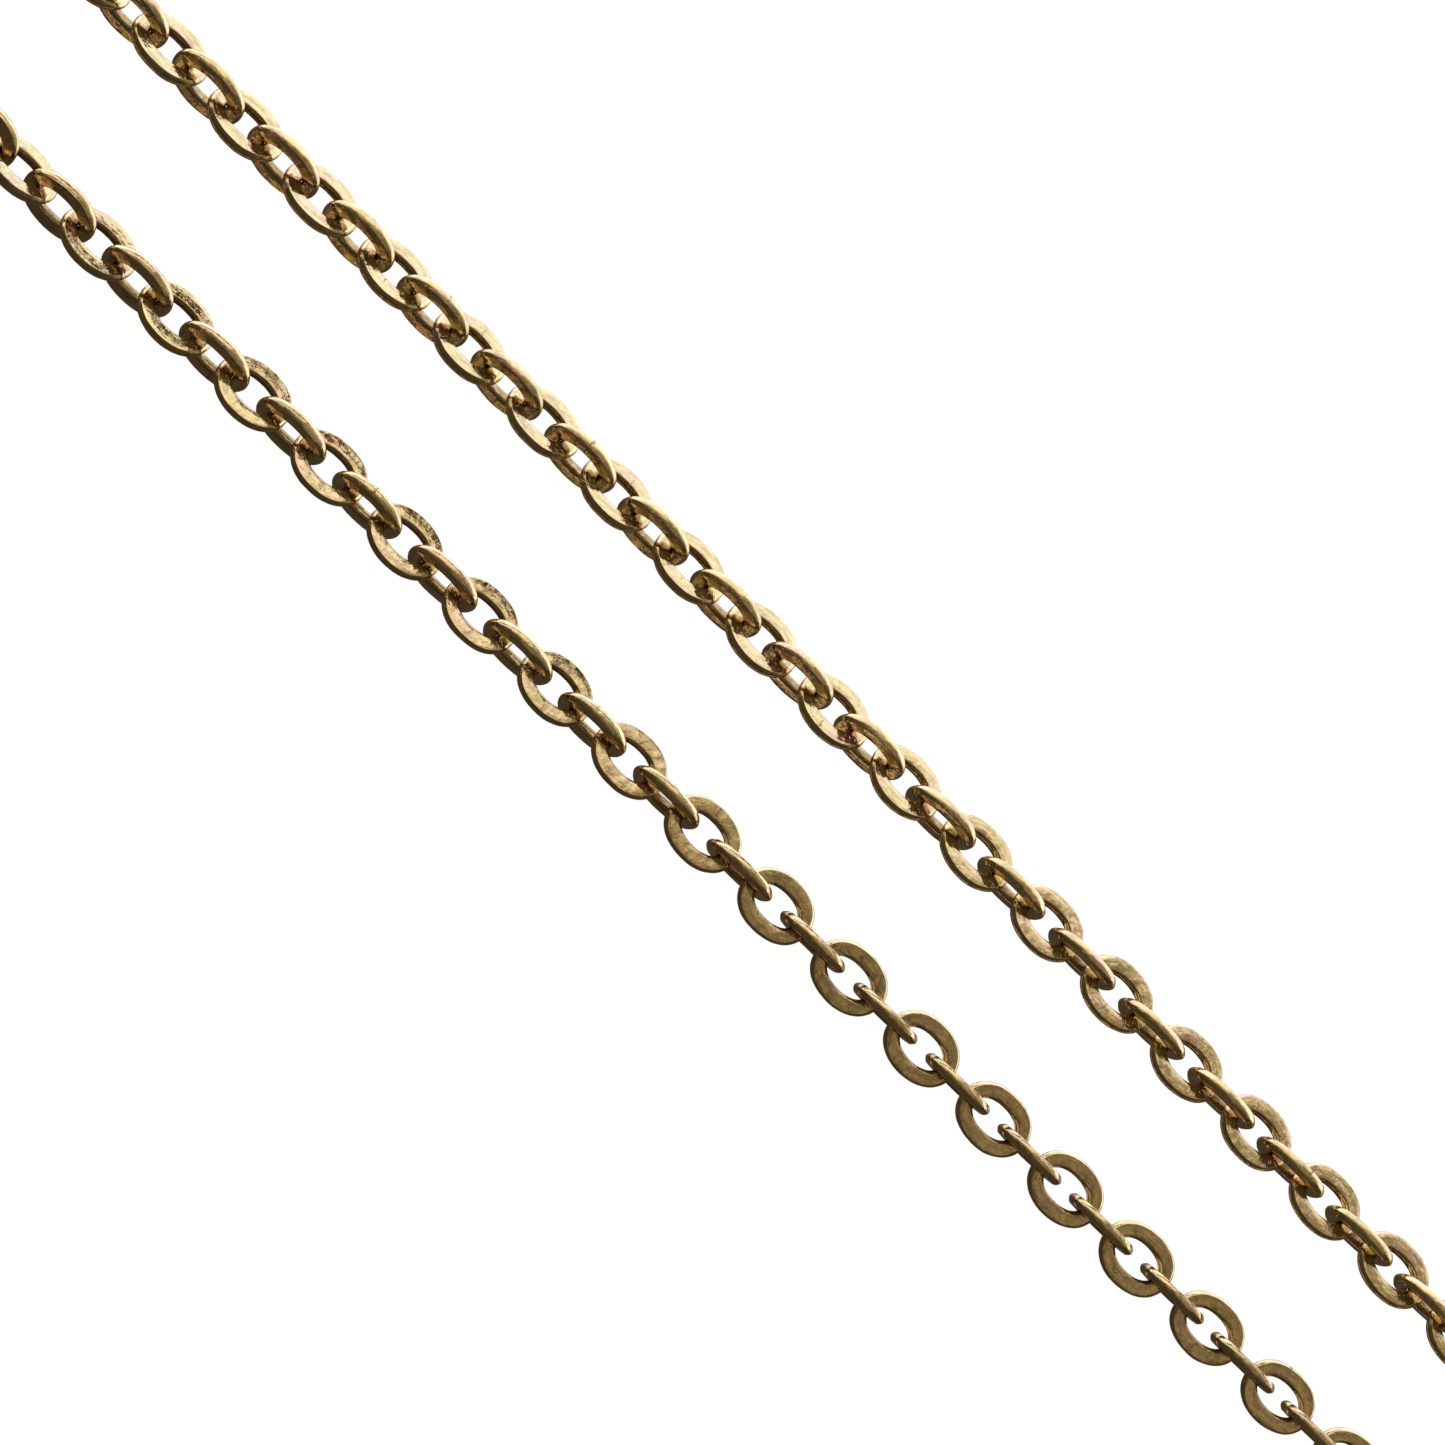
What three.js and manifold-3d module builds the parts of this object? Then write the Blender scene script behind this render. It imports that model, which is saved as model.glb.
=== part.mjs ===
// A gentleman's pocket watch chain: a gold trace chain of filed oval links, laid out on a table in
// two near-parallel strands joined by a U bend. One end carries a T bar for the waistcoat
// buttonhole, the other a swivel clasp for the bow of the watch. Millimetres, +Z up, strands
// along X. The origin is under the middle of the whole chain, on the table.
import * as THREE from "three";
import Module from "manifold-3d";

const wasm = await Module();
wasm.setup();

// ---- driving dimensions -----------------------------------------------------------------------
const link = { length: 5.22, width: 4.04, wire: 1.0, thick: 0.75, sides: 14 };
const ridge = 0.22; // how far the inner edge of a link's wire is rounded back
const pitch = { loose: 3.04, bend: 3.06, taut: 3.14 }; // link to link: tee strand, bend, clasp strand
const count = { tee: 42, bend: 6, clasp: 40 }; // links in each stretch
const bendFirst = 1.5; // degrees the first link of the bend turns from the tee strand
const bendStep = 31.35; // degrees from each link of the bend to the next
const splay = 0.163; // degrees each strand leans outwards, away from the other
const teeCurve = { links: 3, step: 15 }; // the last links by the tee curl away, degrees each
const teeRunLinks = 15; // links next to the T bar that are built three to a run
const runLinks = 3; // links in a joined run
const solder = { along: 0.62, across: 0.3 }; // the bead between two links of a run
const play = 0.17; // running gap between a ring and the link or eye it passes through
const ring = { radius: 1.9, wire: 0.42, sides: 18 }; // round jump rings at both ends
const eye = { radius: 1.35, wire: 0.45, sunk: 0.35 }; // the T bar's eye, sunk into the bar
const tee = {
  length: 24,
  radius: 1.0,
  knob: 1.5, // radius of the round knob on each end
  lean: 4, // degrees the end of the chain turns at the bar
  collar: 1.25, // radius of the thicker middle that the eye stands on
  collarHalf: 1.7, // half its length, before it runs down to the bar
  collarRun: 0.5,
};
const bail = {
  radius: 1.5, // the eye that hangs on the ring
  wire: 0.45,
  stem: 0.75, // from the eye to the neck of the clasp
  post: 0.7,
  head: 1.12,
  headThick: 0.5,
  collar: 1.12,
  collarThick: 0.58,
};
const hook = {
  half: 1.3, // half the thickness of the clasp
  neck: 3.4, // length of the neck that the bail's post turns in
  reach: 6.8, // half length of the opening
  open: 2.75, // half width of the opening
  wire: 1.6, // width of the hook's arm
};
const pivot = { x: 5.6, y: -3.0, pin: 0.45, boss: 1.25, ear: 1.5 };
const gateEnd = 8.4; // from the pivot to the gate's tip
const lip = 1.0; // the nose covers the outside of the gate's tip by this much
const gateSlot = 0.7; // half width of the slot the gate turns in
const slotRun = 1.2; // how far that slot runs on past the ears
const gateStep = { side: 0.25, back: 0.15 }; // how far the gate's thick arm stays inside the clasp
const stud = { radius: 0.55, at: 5.2 }; // the gate's thumb stud, from the pivot
const springRoom = { half: 0.34, radius: 1.02 }; // the hollow that the gate's spring sits in
const spring = { radius: 0.79, wire: 0.1, turns: 2.2 };
const pinEnds = { low: 0.02, high: 0.12 }; // how far the pin stands out of the ears
const gap = 0.1; // between the gate and the clasp
const slack = { pin: 0.05, post: 0.06, head: 0.12 }; // running clearances

const DEG = Math.PI / 180;
const total = count.tee + count.bend + count.clasp;
const bendStart = count.tee;
const claspStart = count.tee + count.bend;

// How the links are tilted from flat about the chain's own line, in degrees, at a few links along
// it: the even links one way, the odd links the other way, about a quarter turn apart.
const tilt = [
  { link: 0, even: 0, odd: -90 },
  { link: 4, even: 34, odd: -63 },
  { link: 12, even: 34, odd: -63 },
  { link: 24, even: 39, odd: -57 },
  { link: 30, even: 56, odd: -46 },
  { link: 41, even: 57, odd: -46 },
  { link: 42, even: 46, odd: -44 },
  { link: 49, even: 24, odd: -66 },
  { link: 62, even: 25, odd: -65 },
  { link: 66, even: 35, odd: -55 },
  { link: 69, even: 47, odd: -43 },
  { link: 78, even: 51, odd: -39 },
  { link: 83, even: 63, odd: -27 },
  { link: 87, even: 90, odd: 0 },
];

function tiltsAt(n) {
  let k = 1;
  while (k < tilt.length - 1 && n > tilt[k].link) k += 1;
  const [before, after] = [tilt[k - 1], tilt[k]];
  const part = (n - before.link) / (after.link - before.link);
  const between = (kind) => before[kind] + (after[kind] - before[kind]) * part;
  return { even: between("even"), odd: between("odd") };
}

function rollOf(n) {
  return n % 2 === 0 ? tiltsAt(n).even : tiltsAt(n).odd;
}

// The height of the chain's line: the steeper of the two kinds of link stands on the table.
function heightOf(n) {
  const { even, odd } = tiltsAt(n);
  const steep = Math.max(Math.abs(even), Math.abs(odd)) * DEG;
  return (link.width / 2) * Math.sin(steep) + (link.thick / 2) * Math.cos(steep);
}

function headingOf(n) {
  if (n < teeCurve.links) return -splay - teeCurve.step * (teeCurve.links - n);
  if (n < bendStart) return -splay;
  if (n < claspStart) return -bendFirst - bendStep * (n - bendStart);
  return -180 + splay;
}

function pitchOf(n) {
  if (n < bendStart) return pitch.loose;
  return n < claspStart ? pitch.bend : pitch.taut;
}

// ---- solids -----------------------------------------------------------------------------------
function solidOf(geometry, matrix) {
  const flat = geometry.index ? geometry.toNonIndexed() : geometry.clone();
  if (matrix) flat.applyMatrix4(matrix);
  const from = flat.attributes.position.array;
  const seen = new Map();
  const points = [];
  const corners = new Uint32Array(from.length / 3);
  for (let i = 0; i < corners.length; i += 1) {
    const xyz = [from[3 * i], from[3 * i + 1], from[3 * i + 2]];
    const key = xyz.map((v) => Math.round(v * 1e4)).join(",");
    if (!seen.has(key)) {
      seen.set(key, points.length / 3);
      points.push(...xyz);
    }
    corners[i] = seen.get(key);
  }
  const kept = [];
  for (let i = 0; i < corners.length; i += 3) {
    const [a, b, c] = corners.subarray(i, i + 3);
    if (a !== b && b !== c && a !== c) kept.push(a, b, c);
  }
  const mesh = new wasm.Mesh({
    numProp: 3,
    vertProperties: new Float32Array(points),
    triVerts: new Uint32Array(kept),
  });
  return new wasm.Manifold(mesh);
}

function geometryOf(solid) {
  const mesh = solid.getMesh();
  const geometry = new THREE.BufferGeometry();
  const points = new Float32Array(mesh.numVert * 3);
  for (let i = 0; i < mesh.numVert; i += 1)
    points.set(mesh.vertProperties.subarray(i * mesh.numProp, i * mesh.numProp + 3), 3 * i);
  geometry.setAttribute("position", new THREE.BufferAttribute(points, 3));
  geometry.setIndex(new THREE.BufferAttribute(new Uint32Array(mesh.triVerts), 1));
  geometry.computeVertexNormals();
  return geometry;
}

// A closed loop of one section carried round an oval in the XY plane. `section` lists points
// [outwards, up] from the middle of the wire, turning from outwards towards up.
function loop(halfLength, halfWidth, section, sides, turned = 0) {
  const points = [];
  const faces = [];
  const m = section.length;
  for (let i = 0; i < sides; i += 1) {
    const a = ((i + turned) * 2 * Math.PI) / sides;
    const middle = new THREE.Vector2(halfLength * Math.cos(a), halfWidth * Math.sin(a));
    const out = new THREE.Vector2(halfWidth * Math.cos(a), halfLength * Math.sin(a)).normalize();
    for (const [o, up] of section) points.push(middle.x + out.x * o, middle.y + out.y * o, up);
    const j = (i + 1) % sides;
    for (let k = 0; k < m; k += 1) {
      const l = (k + 1) % m;
      faces.push(i * m + k, j * m + k, j * m + l, i * m + k, j * m + l, i * m + l);
    }
  }
  const geometry = new THREE.BufferGeometry();
  geometry.setAttribute("position", new THREE.Float32BufferAttribute(points, 3));
  geometry.setIndex(faces);
  return geometry;
}

const linkSection = [
  [link.wire / 2, -link.thick / 2],
  [link.wire / 2, link.thick / 2],
  [-link.wire / 2 + ridge, link.thick / 2],
  [-link.wire / 2, 0],
  [-link.wire / 2 + ridge, -link.thick / 2],
];

function linkLoop() {
  const flatSide = Math.cos(Math.PI / link.sides); // the sides are facets, so widen to suit
  const halfLength = (link.length - link.wire) / 2;
  return loop(halfLength, (link.width - link.wire) / 2 / flatSide, linkSection, link.sides);
}

function roundSection(radius, sides) {
  const points = [];
  for (let k = 0; k < sides; k += 1) {
    const a = ((k + 0.5) * 2 * Math.PI) / sides;
    points.push([radius * Math.cos(a), radius * Math.sin(a)]);
  }
  return points;
}

function roundLoop(radius, wire, sides) {
  return loop(radius, radius, roundSection(wire, 6), sides);
}

function rod(radius, from, to, sides = 12) {
  const geometry = new THREE.CylinderGeometry(radius, radius, to - from, sides);
  geometry.rotateZ(-Math.PI / 2); // along X
  geometry.translate((from + to) / 2, 0, 0);
  return geometry;
}

function disc(radius, x, y, low, high, sides = 16) {
  const geometry = new THREE.CylinderGeometry(radius, radius, high - low, sides);
  geometry.rotateX(Math.PI / 2); // along Z
  geometry.translate(x, y, (low + high) / 2);
  return geometry;
}

function slab(points, low, high) {
  const shape = new THREE.Shape(points.map(([x, y]) => new THREE.Vector2(x, y)));
  const geometry = new THREE.ExtrudeGeometry(shape, { depth: high - low, bevelEnabled: false });
  geometry.translate(0, 0, low);
  return geometry;
}

function oval(cx, a, b, sides) {
  const points = [];
  for (let i = 0; i < sides; i += 1) {
    const t = ((i + 0.5) * 2 * Math.PI) / sides;
    points.push([cx + a * Math.cos(t), b * Math.sin(t)]);
  }
  return points;
}

// A frame at `at` whose X runs along `along`, with Y rolled `roll` degrees up from level.
function frameAt(at, along, roll) {
  const x = along.clone().normalize();
  const left = new THREE.Vector3(0, 0, 1).cross(x).normalize();
  const up = x.clone().cross(left);
  const y = left.multiplyScalar(Math.cos(roll * DEG)).addScaledVector(up, Math.sin(roll * DEG));
  return new THREE.Matrix4().makeBasis(x, y, x.clone().cross(y)).setPosition(at);
}

function column(matrix, k) {
  return new THREE.Vector3().setFromMatrixColumn(matrix, k);
}

function level(degrees) {
  return new THREE.Vector3(Math.cos(degrees * DEG), Math.sin(degrees * DEG), 0);
}

// ---- where every link lies --------------------------------------------------------------------
// Walk the chain's line link by link from the T bar's end to the clasp's end.
const joints = [new THREE.Vector3(0, 0, heightOf(0))];
for (let n = 0; n < total; n += 1) {
  const next = joints[n].clone().addScaledVector(level(headingOf(n)), pitchOf(n));
  next.z = n + 1 < total ? (heightOf(n) + heightOf(n + 1)) / 2 : heightOf(n);
  joints.push(next);
}
const frames = [];
for (let n = 0; n < total; n += 1) {
  const middle = joints[n].clone().add(joints[n + 1]).multiplyScalar(0.5);
  frames.push(frameAt(middle, joints[n + 1].clone().sub(joints[n]), rollOf(n)));
}

const metals = {
  gold: { color: 0xb79256, metalness: 1, roughness: 0.28 },
  steel: { color: 0x9c9a94, metalness: 1, roughness: 0.35 },
};
const group = new THREE.Group();
group.name = "pocket_watch_chain";

function put(name, geometry, matrix, metal = "gold") {
  const mesh = new THREE.Mesh(geometry, new THREE.MeshStandardMaterial(metals[metal]));
  mesh.name = name;
  mesh.matrixAutoUpdate = false;
  if (matrix) mesh.matrix.copy(matrix);
  group.add(mesh);
  return mesh;
}

// ---- links, singly round the bend and along the tee strand, elsewhere three to a run ------------
const twoDigits = (n) => String(n).padStart(2, "0");
const pieces = []; // every node of plain links: its name and its first and last link
const singlesStart = teeRunLinks;
const singlesEnd = claspStart + 1;
let n = 0;
let runs = 0;
let singles = 0;
while (n < total) {
  const alone = n >= singlesStart && n < singlesEnd;
  const last = alone ? n : n + runLinks - 1;
  const name = alone ? `link_${twoDigits((singles += 1))}` : `run_${twoDigits((runs += 1))}`;
  pieces.push({ name, first: n, last });
  n = last + 1;
}

for (const piece of pieces) {
  if (piece.first === piece.last) {
    put(piece.name, linkLoop(), frames[piece.first]);
    continue;
  }
  // The links of a run are held to each other by a small bead of solder where they touch.
  const origin = frames[piece.first];
  const back = origin.clone().invert();
  let solid = null;
  for (let k = piece.first; k <= piece.last; k += 1) {
    const one = solidOf(linkLoop(), back.clone().multiply(frames[k]));
    solid = solid ? solid.add(one) : one;
    if (k === piece.last) continue;
    const bead = new THREE.BoxGeometry(solder.along, solder.across, solder.across);
    const between = frameAt(joints[k + 1], column(frames[k], 0), rollOf(k));
    solid = solid.add(solidOf(bead, back.clone().multiply(between)));
  }
  put(piece.name, geometryOf(solid), origin);
}

// ---- T bar end ----------------------------------------------------------------------------------
const hingeSpots = {}; // where each end fitting turns, and about what
const ringInner = ring.radius - ring.wire;
const linkToRing = link.length / 2 - link.wire + ringInner - play;
const ringHeight = ring.radius + ring.wire;

// A standing ring threaded through the link at `from`, `heading` degrees away from it; an eye
// lying flat at `eyeHeight` is threaded on the ring's far side.
function standingRing(name, from, heading, eyeInner, eyeHeight) {
  const away = level(heading);
  const at = new THREE.Vector3().setFromMatrixPosition(from).addScaledVector(away, linkToRing);
  at.z = ringHeight;
  put(name, roundLoop(ring.radius, ring.wire, ring.sides), frameAt(at, away, 90));
  const drop = ringHeight - eyeHeight;
  const eyeAt = at.clone().addScaledVector(away, Math.sqrt(ringInner ** 2 - drop ** 2) + eyeInner - play);
  eyeAt.z = eyeHeight;
  const wireOut = Math.sqrt(ring.radius ** 2 - drop ** 2);
  hingeSpots[name] = {
    ring: at,
    wire: at.clone().addScaledVector(away, wireOut).setZ(eyeHeight),
    wireAxis: away.clone().multiplyScalar(drop / ring.radius).setZ(wireOut / ring.radius),
  };
  return { away, eyeAt };
}

const teeHeading = headingOf(0) + 180 - tee.lean;
const teeEnd = standingRing("tee_ring", frames[0], teeHeading, eye.radius - eye.wire, tee.knob);
const knobBack = tee.length / 2 - tee.knob;
const barProfile = [[0, tee.length / 2]];
for (const a of [60, 30, 0, -25])
  barProfile.push([tee.knob * Math.cos(a * DEG), knobBack + tee.knob * Math.sin(a * DEG)]);
barProfile.push(
  [tee.radius, knobBack - tee.knob],
  [tee.radius, tee.collarHalf + tee.collarRun],
  [tee.collar, tee.collarHalf],
  [tee.collar, 0],
);
const mirrored = barProfile.slice(0, -1).reverse().map(([r, y]) => [r, -y]);
const barPoints = [...barProfile, ...mirrored].reverse();
const bar = new THREE.LatheGeometry(barPoints.map(([r, y]) => new THREE.Vector2(r, y)), 12);
bar.rotateY(Math.PI / 12); // so that flats face the chain and the table
const eyeToBar = eye.radius + eye.wire + tee.radius - eye.sunk;
bar.translate(eyeToBar, 0, 0);
const teeSolid = solidOf(bar).add(solidOf(roundLoop(eye.radius, eye.wire, 16)));
put("t_bar", geometryOf(teeSolid), frameAt(teeEnd.eyeAt, teeEnd.away, 0));

// ---- swivel clasp end -----------------------------------------------------------------------------
const claspEnd = standingRing(
  "clasp_ring",
  frames[total - 1],
  headingOf(total - 1),
  bail.radius - bail.wire,
  hook.half,
);
// The clasp's own frame starts at the face of its neck and runs out along the hook.
const eyeToNeck = bail.radius + bail.wire + bail.stem;
const neckFace = claspEnd.eyeAt.clone().addScaledVector(claspEnd.away, eyeToNeck);
const claspFrame = frameAt(neckFace, claspEnd.away, 0);

const eyeSolid = solidOf(
  roundLoop(bail.radius, bail.wire, 16).translate(-eyeToNeck, 0, 0),
);
const bailSolid = eyeSolid
  .add(solidOf(rod(bail.post, -bail.wire - bail.stem, hook.neck + bail.headThick)))
  .add(solidOf(rod(bail.collar, -bail.collarThick - slack.head, -slack.head, 14)))
  .add(solidOf(rod(bail.head, hook.neck + slack.head, hook.neck + slack.head + bail.headThick, 14)));
put("clasp_bail", geometryOf(bailSolid), claspFrame);

const middleX = hook.neck + hook.reach;
const outline = slab(oval(middleX, hook.reach + hook.wire, hook.open + hook.wire, 28), -hook.half, hook.half);
const inside = slab(oval(middleX, hook.reach, hook.open, 28), -2 * hook.half, 2 * hook.half);
// The gate closes the side between its pivot and the nose of the hook.
const far = 2 * gateEnd;
const lipLine = -(hook.open + hook.wire * 0.55); // where the nose's lip meets the gate's tip
function gateSide(endInner, endOuter, startX, spare) {
  return [
    [startX, -hook.open / 2],
    [pivot.x + endInner, -hook.open / 2],
    [pivot.x + endInner, lipLine + spare],
    [pivot.x + endOuter, lipLine + spare],
    [pivot.x + endOuter, -far],
    [startX, -far],
  ];
}
const bodyCut = slab(gateSide(gateEnd + gap, gateEnd - lip, pivot.x, -gap / 2), -far, far);
const slotCut = disc(pivot.boss + 2 * gap, pivot.x, pivot.y, -gateSlot, gateSlot, 20);
const body = solidOf(outline)
  .add(solidOf(rod(hook.half, 0, hook.neck + 0.4, 16)))
  .subtract(solidOf(inside))
  .subtract(solidOf(bodyCut))
  .add(solidOf(disc(pivot.ear, pivot.x, pivot.y, -hook.half, hook.half, 20)))
  .subtract(solidOf(slotCut))
  .subtract(
    solidOf(slab([[pivot.x, -far], [far, -far], [far, 0], [pivot.x, 0]], -gateSlot, gateSlot))
      .intersect(solidOf(disc(pivot.ear + slotRun, pivot.x, pivot.y, -far, far, 20))),
  )
  .subtract(solidOf(disc(pivot.pin + slack.pin, pivot.x, pivot.y, -far, far)))
  .subtract(solidOf(rod(bail.post + slack.post, -hook.half, hook.neck + hook.half, 16)))
  .subtract(solidOf(rod(bail.head + slack.head, hook.neck, hook.neck + hook.half, 14)));
put("clasp_body", geometryOf(body), claspFrame);

const gateHalf = gateSlot - gap;
const armHalf = hook.half - gateStep.side;
const armBack = pivot.ear + gateStep.back; // the thicker arm starts clear of the ears
const ovalBand = (half) =>
  solidOf(slab(oval(middleX, hook.reach + hook.wire - gap, hook.open + hook.wire - gap, 28), -half, half))
    .subtract(solidOf(slab(oval(middleX, hook.reach, hook.open, 28), -far, far)));
const gateRegion = solidOf(slab(gateSide(gateEnd, gateEnd - lip - gap, pivot.x, gap / 2), -far, far));
const thin = ovalBand(gateHalf).intersect(gateRegion);
const thick = ovalBand(armHalf)
  .intersect(gateRegion)
  .subtract(solidOf(disc(armBack, pivot.x, pivot.y, -far, far, 20)));
const gate = thin
  .add(thick)
  .add(solidOf(disc(pivot.boss, pivot.x, pivot.y, -gateHalf, gateHalf, 20)))
  .add(solidOf(disc(stud.radius, pivot.x + stud.at, -(hook.open + hook.wire), -armHalf, armHalf, 12)))
  .subtract(solidOf(disc(springRoom.radius, pivot.x, pivot.y, -springRoom.half, springRoom.half, 20)))
  .subtract(solidOf(disc(pivot.pin + slack.pin, pivot.x, pivot.y, -far, far)));
put("clasp_gate", geometryOf(gate), claspFrame);

const pin = disc(pivot.pin, pivot.x, pivot.y, -hook.half - pinEnds.low, hook.half + pinEnds.high);
put("gate_pin", pin, claspFrame, "steel");

class Coil extends THREE.Curve {
  getPoint(t) {
    const a = t * spring.turns * 2 * Math.PI;
    const rise = (2 * t - 1) * (springRoom.half - 1.6 * spring.wire);
    return new THREE.Vector3(Math.cos(a), Math.sin(a), 0)
      .multiplyScalar(spring.radius)
      .add(new THREE.Vector3(pivot.x, pivot.y, rise));
  }
}
const coilSection = new THREE.Shape(
  roundSection(spring.wire, 5).map(([x, y]) => new THREE.Vector2(x, y)),
);
const coil = new THREE.ExtrudeGeometry(coilSection, { steps: 30, extrudePath: new Coil() });
put("gate_spring", coil, claspFrame, "steel");

// ---- origin under the middle of the chain, on the table --------------------------------------------
const box = new THREE.Box3();
for (const mesh of group.children) {
  mesh.updateMatrixWorld(true);
  box.union(new THREE.Box3().setFromObject(mesh, true));
}
const shift = new THREE.Vector3((box.min.x + box.max.x) / 2, (box.min.y + box.max.y) / 2, box.min.z);
for (const mesh of group.children)
  mesh.matrix.premultiply(new THREE.Matrix4().makeTranslation(-shift.x, -shift.y, -shift.z));

const moved = (v) => v.clone().sub(shift).toArray();
group.userData = {
  pieces: pieces.map((piece) => ({
    ...piece,
    frames: [frames[piece.first], frames[piece.last]].map((f) => ({
      at: moved(new THREE.Vector3().setFromMatrixPosition(f)),
      x: column(f, 0).toArray(),
      y: column(f, 1).toArray(),
    })),
  })),
  bow: (link.length - link.wire) / 2, // from a link's middle to the middle of its end wire
  rings: Object.fromEntries(
    Object.entries(hingeSpots).map(([k, s]) => [
      k,
      { ring: moved(s.ring), wire: moved(s.wire), axis: s.wireAxis.toArray() },
    ]),
  ),
  clasp: {
    neck: moved(neckFace),
    along: claspEnd.away.toArray(),
    pivot: moved(new THREE.Vector3(pivot.x, pivot.y, 0).applyMatrix4(claspFrame)),
  },
};

export default group;
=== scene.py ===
"""The looks of a gold pocket watch chain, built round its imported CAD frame.

The chain's line is walked link by link from the same driving dimensions as the CAD part, so each
fine link lies where its plain CAD link does and rides on the same body. Lengths are written in
millimetres and turned into metres by MM.
"""

import math
import random

import bpy
from mathutils import Matrix, Vector, noise


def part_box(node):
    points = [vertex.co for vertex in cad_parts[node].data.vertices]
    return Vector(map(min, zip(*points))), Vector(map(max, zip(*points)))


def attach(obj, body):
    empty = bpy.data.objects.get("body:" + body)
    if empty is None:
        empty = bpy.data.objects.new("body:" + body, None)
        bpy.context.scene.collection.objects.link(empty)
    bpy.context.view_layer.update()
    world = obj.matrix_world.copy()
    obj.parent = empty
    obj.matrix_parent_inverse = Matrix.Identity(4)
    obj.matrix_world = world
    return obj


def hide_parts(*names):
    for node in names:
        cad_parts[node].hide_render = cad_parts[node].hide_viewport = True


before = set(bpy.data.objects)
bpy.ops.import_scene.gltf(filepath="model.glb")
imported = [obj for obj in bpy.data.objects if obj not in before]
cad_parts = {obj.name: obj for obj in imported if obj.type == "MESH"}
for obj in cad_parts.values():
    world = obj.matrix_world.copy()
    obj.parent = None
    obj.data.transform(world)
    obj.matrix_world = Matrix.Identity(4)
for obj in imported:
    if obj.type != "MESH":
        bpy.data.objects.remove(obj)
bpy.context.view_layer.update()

MM = 0.001
UP = Vector((0, 0, 1))

# ---- driving dimensions, as in the CAD part ---------------------------------------------------
LINK_LENGTH, LINK_WIDTH = 5.22, 4.04
THICK = 0.75
PITCH_LOOSE, PITCH_BEND, PITCH_TAUT = 3.04, 3.06, 3.14
TEE_COUNT, BEND_COUNT, CLASP_COUNT = 42, 6, 40
BEND_FIRST, BEND_STEP, SPLAY = 1.5, 31.35, 0.163
TEE_CURL_LINKS, TEE_CURL_STEP = 3, 15
TEE_RUN_LINKS, RUN_LINKS = 15, 3
# link, and how far from flat the even and the odd links near it are tilted
TILT = [
    (0, 0, -90), (4, 34, -63), (12, 34, -63), (24, 39, -57), (30, 56, -46), (41, 57, -46),
    (42, 46, -44), (49, 24, -66), (62, 25, -65), (66, 35, -55), (69, 47, -43), (78, 51, -39),
    (83, 63, -27), (87, 90, 0),
]

TOTAL = TEE_COUNT + BEND_COUNT + CLASP_COUNT
BEND_START = TEE_COUNT
CLASP_START = TEE_COUNT + BEND_COUNT


# ---- the chain's line ---------------------------------------------------------------------------
def tilts_at(n):
    """How far the even and the odd links near link n are tilted from flat, in degrees."""
    k = 1
    while k < len(TILT) - 1 and n > TILT[k][0]:
        k += 1
    before, after = TILT[k - 1], TILT[k]
    part = (n - before[0]) / (after[0] - before[0])
    return [before[c] + (after[c] - before[c]) * part for c in (1, 2)]


def roll_of(n):
    return tilts_at(n)[n % 2]


def height_of(n):
    """The height of the chain's line: the steeper of the two kinds of link stands on the table."""
    steep = math.radians(max(abs(tilt) for tilt in tilts_at(n)))
    return LINK_WIDTH / 2 * math.sin(steep) + THICK / 2 * math.cos(steep)


def heading_of(n):
    if n < TEE_CURL_LINKS:
        return -SPLAY - TEE_CURL_STEP * (TEE_CURL_LINKS - n)
    if n < BEND_START:
        return -SPLAY
    if n < CLASP_START:
        return -BEND_FIRST - BEND_STEP * (n - BEND_START)
    return -180 + SPLAY


def pitch_of(n):
    if n < BEND_START:
        return PITCH_LOOSE
    return PITCH_BEND if n < CLASP_START else PITCH_TAUT


def level(degrees):
    return Vector((math.cos(math.radians(degrees)), math.sin(math.radians(degrees)), 0))


def frame_at(at, along, roll):
    """A frame at `at` whose X runs along `along`, with Y rolled `roll` degrees up from level."""
    x = along.normalized()
    left = UP.cross(x).normalized()
    up = x.cross(left)
    y = left * math.cos(math.radians(roll)) + up * math.sin(math.radians(roll))
    made = Matrix((x, y, x.cross(y))).transposed().to_4x4()
    made.translation = at
    return made


def walk():
    """The frame of every link, in millimetres, before the shift to the row's origin."""
    joints = [Vector((0, 0, height_of(0)))]
    for n in range(TOTAL):
        step = joints[n] + level(heading_of(n)) * pitch_of(n)
        step.z = (height_of(n) + height_of(n + 1)) / 2 if n + 1 < TOTAL else height_of(n)
        joints.append(step)
    return [frame_at((a + b) / 2, b - a, roll_of(n)) for n, (a, b) in enumerate(zip(joints, joints[1:]))]


def node_of(n):
    """The CAD node, and so the body, that link n belongs to."""
    singles_end = CLASP_START + 1
    if TEE_RUN_LINKS <= n < singles_end:
        return f"link_{n - TEE_RUN_LINKS + 1:02d}"
    if n < TEE_RUN_LINKS:
        run = n // RUN_LINKS
    else:
        run = TEE_RUN_LINKS // RUN_LINKS + (n - singles_end) // RUN_LINKS
    return f"run_{run + 1:02d}"


links = walk()
low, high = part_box("link_01")
shift = (low + high) / 2 / MM - links[TEE_RUN_LINKS].translation
for link in links:
    link.translation += shift


# ---- shader helpers -------------------------------------------------------------------------------
def new_material(name):
    material = bpy.data.materials.new(name)
    material.use_nodes = True
    tree = material.node_tree
    return material, tree, tree.nodes["Principled BSDF"]


def add(tree, kind, **inputs):
    """A node of that kind, with each named input set to a value or linked from a socket."""
    node = tree.nodes.new(kind)
    for name, value in inputs.items():
        put(tree, node, name.replace("_", " "), value)
    return node


def put(tree, node, name, value):
    socket = node.inputs[name]
    if isinstance(value, bpy.types.NodeSocket):
        tree.links.new(value, socket)
    else:
        socket.default_value = value


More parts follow.
